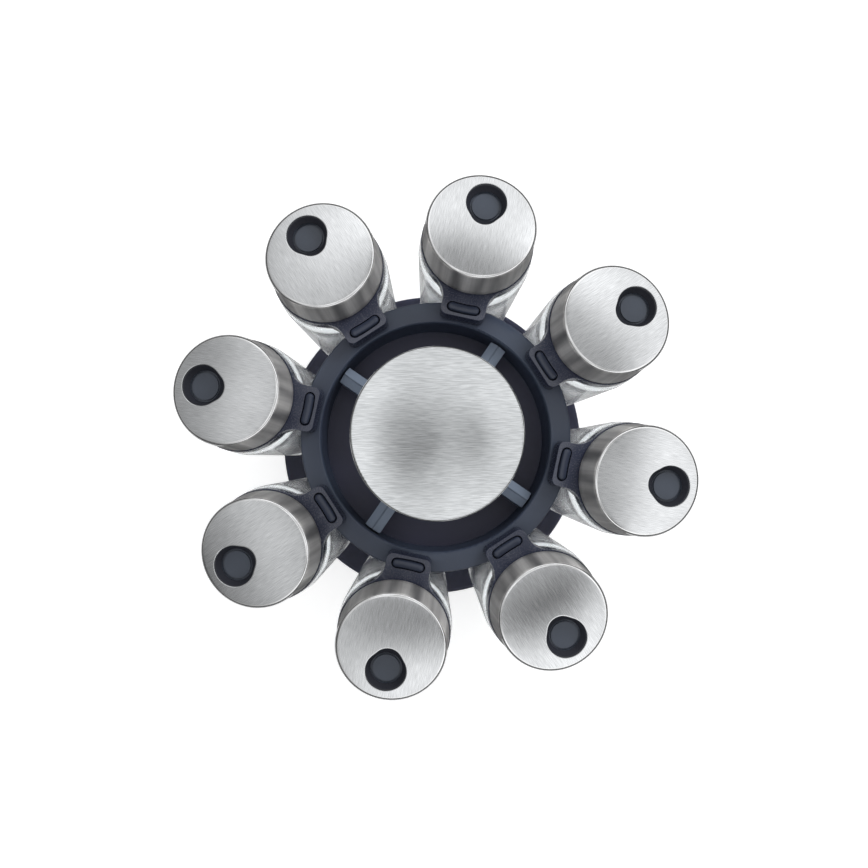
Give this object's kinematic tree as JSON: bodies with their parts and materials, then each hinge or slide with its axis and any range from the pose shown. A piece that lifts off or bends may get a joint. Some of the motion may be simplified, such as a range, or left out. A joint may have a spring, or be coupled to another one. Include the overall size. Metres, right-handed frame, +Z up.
{
  "type": "spice carousel",
  "caption": "Turning rack on a round base: glass jars with steel twist caps hang by their ears round a drum with a steel disc on its column.",
  "frame": {"origin": "centre of the underside of the foot ring, on the table", "axes": "+Z up along the carousel's turning axis, +X towards jar 1; the other jars follow anticlockwise seen from above"},
  "size_m": [0.2298, 0.2298, 0.1577],
  "materials": {
    "glass": "clear soda-lime glass, fire polished",
    "black_plastic": "moulded ABS, fine matt grain, blue-black",
    "slate_plastic": "moulded polypropylene, slate grey",
    "steel": "stainless steel, fine straight brushing",
    "screw_steel": "zinc-plated steel",
    "ballast": "plain mild steel plate",
    "bush_brass": "sintered brass",
    "foot_rubber": "moulded matt rubber"
  },
  "bodies": {
    "base": {"base_dish": "black_plastic", "base_weight": "ballast", "base_cover": "black_plastic", "base_screws": "screw_steel", "foot_ring": "foot_rubber", "spindle": "screw_steel", "spindle_clip": "screw_steel"},
    "cage": {"ball_cage": "bush_brass", "bearing_balls": "screw_steel"},
    "carousel": {"jar_ring": "black_plastic", "drum_shell": "black_plastic", "turntable_plate": "black_plastic", "spindle_bush": "bush_brass", "plate_screws": "screw_steel", "hub_column": "black_plastic", "column_screws": "screw_steel", "disc_carrier": "black_plastic", "steel_disc": "steel"},
    "jar_1": {"glass_1": "glass", "collar_1": "black_plastic", "sifter_1": "slate_plastic"},
    "cap_1": {"cap_insert_1": "black_plastic", "cap_shell_1": "steel"},
    "jar_2": {"glass_2": "glass", "collar_2": "black_plastic", "sifter_2": "slate_plastic"},
    "cap_2": {"cap_insert_2": "black_plastic", "cap_shell_2": "steel"},
    "jar_3": {"glass_3": "glass", "collar_3": "black_plastic", "sifter_3": "slate_plastic"},
    "cap_3": {"cap_insert_3": "black_plastic", "cap_shell_3": "steel"},
    "jar_4": {"glass_4": "glass", "collar_4": "black_plastic", "sifter_4": "slate_plastic"},
    "cap_4": {"cap_insert_4": "black_plastic", "cap_shell_4": "steel"},
    "jar_5": {"glass_5": "glass", "collar_5": "black_plastic", "sifter_5": "slate_plastic"},
    "cap_5": {"cap_insert_5": "black_plastic", "cap_shell_5": "steel"},
    "jar_6": {"glass_6": "glass", "collar_6": "black_plastic", "sifter_6": "slate_plastic"},
    "cap_6": {"cap_insert_6": "black_plastic", "cap_shell_6": "steel"},
    "jar_7": {"glass_7": "glass", "collar_7": "black_plastic", "sifter_7": "slate_plastic"},
    "cap_7": {"cap_insert_7": "black_plastic", "cap_shell_7": "steel"},
    "jar_8": {"glass_8": "glass", "collar_8": "black_plastic", "sifter_8": "slate_plastic"},
    "cap_8": {"cap_insert_8": "black_plastic", "cap_shell_8": "steel"}
  },
  "joints": [
    {"name": "carousel_turn", "type": "hinge", "parent": "base", "child": "carousel", "pos_m": [0, 0, 0.0143], "axis": [0, 0, 1], "continuous": true},
    {"name": "cage_turn", "type": "hinge", "parent": "base", "child": "cage", "pos_m": [0, 0, 0.0136], "axis": [0, 0, 1], "continuous": true},
    {"name": "jar_1_lift", "type": "slide", "parent": "carousel", "child": "jar_1", "axis": [0.2504, 0, 0.9681], "range_m": [0, 0.11]},
    {"name": "cap_1_turn", "type": "hinge", "parent": "jar_1", "child": "cap_1", "pos_m": [0.0922, 0, 0.133], "axis": [0.2504, 0, 0.9681], "range_deg": [-90, 90]},
    {"name": "jar_2_lift", "type": "slide", "parent": "carousel", "child": "jar_2", "axis": [0.177, 0.177, 0.9681], "range_m": [0, 0.11]},
    {"name": "cap_2_turn", "type": "hinge", "parent": "jar_2", "child": "cap_2", "pos_m": [0.0652, 0.0652, 0.133], "axis": [0.177, 0.177, 0.9681], "range_deg": [-90, 90]},
    {"name": "jar_3_lift", "type": "slide", "parent": "carousel", "child": "jar_3", "axis": [0, 0.2504, 0.9681], "range_m": [0, 0.11]},
    {"name": "cap_3_turn", "type": "hinge", "parent": "jar_3", "child": "cap_3", "pos_m": [0, 0.0922, 0.133], "axis": [0, 0.2504, 0.9681], "range_deg": [-90, 90]},
    {"name": "jar_4_lift", "type": "slide", "parent": "carousel", "child": "jar_4", "axis": [-0.177, 0.177, 0.9681], "range_m": [0, 0.11]},
    {"name": "cap_4_turn", "type": "hinge", "parent": "jar_4", "child": "cap_4", "pos_m": [-0.0652, 0.0652, 0.133], "axis": [-0.177, 0.177, 0.9681], "range_deg": [-90, 90]},
    {"name": "jar_5_lift", "type": "slide", "parent": "carousel", "child": "jar_5", "axis": [-0.2504, 0, 0.9681], "range_m": [0, 0.11]},
    {"name": "cap_5_turn", "type": "hinge", "parent": "jar_5", "child": "cap_5", "pos_m": [-0.0922, 0, 0.133], "axis": [-0.2504, 0, 0.9681], "range_deg": [-90, 90]},
    {"name": "jar_6_lift", "type": "slide", "parent": "carousel", "child": "jar_6", "axis": [-0.177, -0.177, 0.9681], "range_m": [0, 0.11]},
    {"name": "cap_6_turn", "type": "hinge", "parent": "jar_6", "child": "cap_6", "pos_m": [-0.0652, -0.0652, 0.133], "axis": [-0.177, -0.177, 0.9681], "range_deg": [-90, 90]},
    {"name": "jar_7_lift", "type": "slide", "parent": "carousel", "child": "jar_7", "axis": [0, -0.2504, 0.9681], "range_m": [0, 0.11]},
    {"name": "cap_7_turn", "type": "hinge", "parent": "jar_7", "child": "cap_7", "pos_m": [0, -0.0922, 0.133], "axis": [0, -0.2504, 0.9681], "range_deg": [-90, 90]},
    {"name": "jar_8_lift", "type": "slide", "parent": "carousel", "child": "jar_8", "axis": [0.177, -0.177, 0.9681], "range_m": [0, 0.11]},
    {"name": "cap_8_turn", "type": "hinge", "parent": "jar_8", "child": "cap_8", "pos_m": [0.0652, -0.0652, 0.133], "axis": [0.177, -0.177, 0.9681], "range_deg": [-90, 90]}
  ],
  "couplings": [
    {"joint": "cage_turn", "follows": "carousel_turn", "ratio": 0.5}
  ]
}
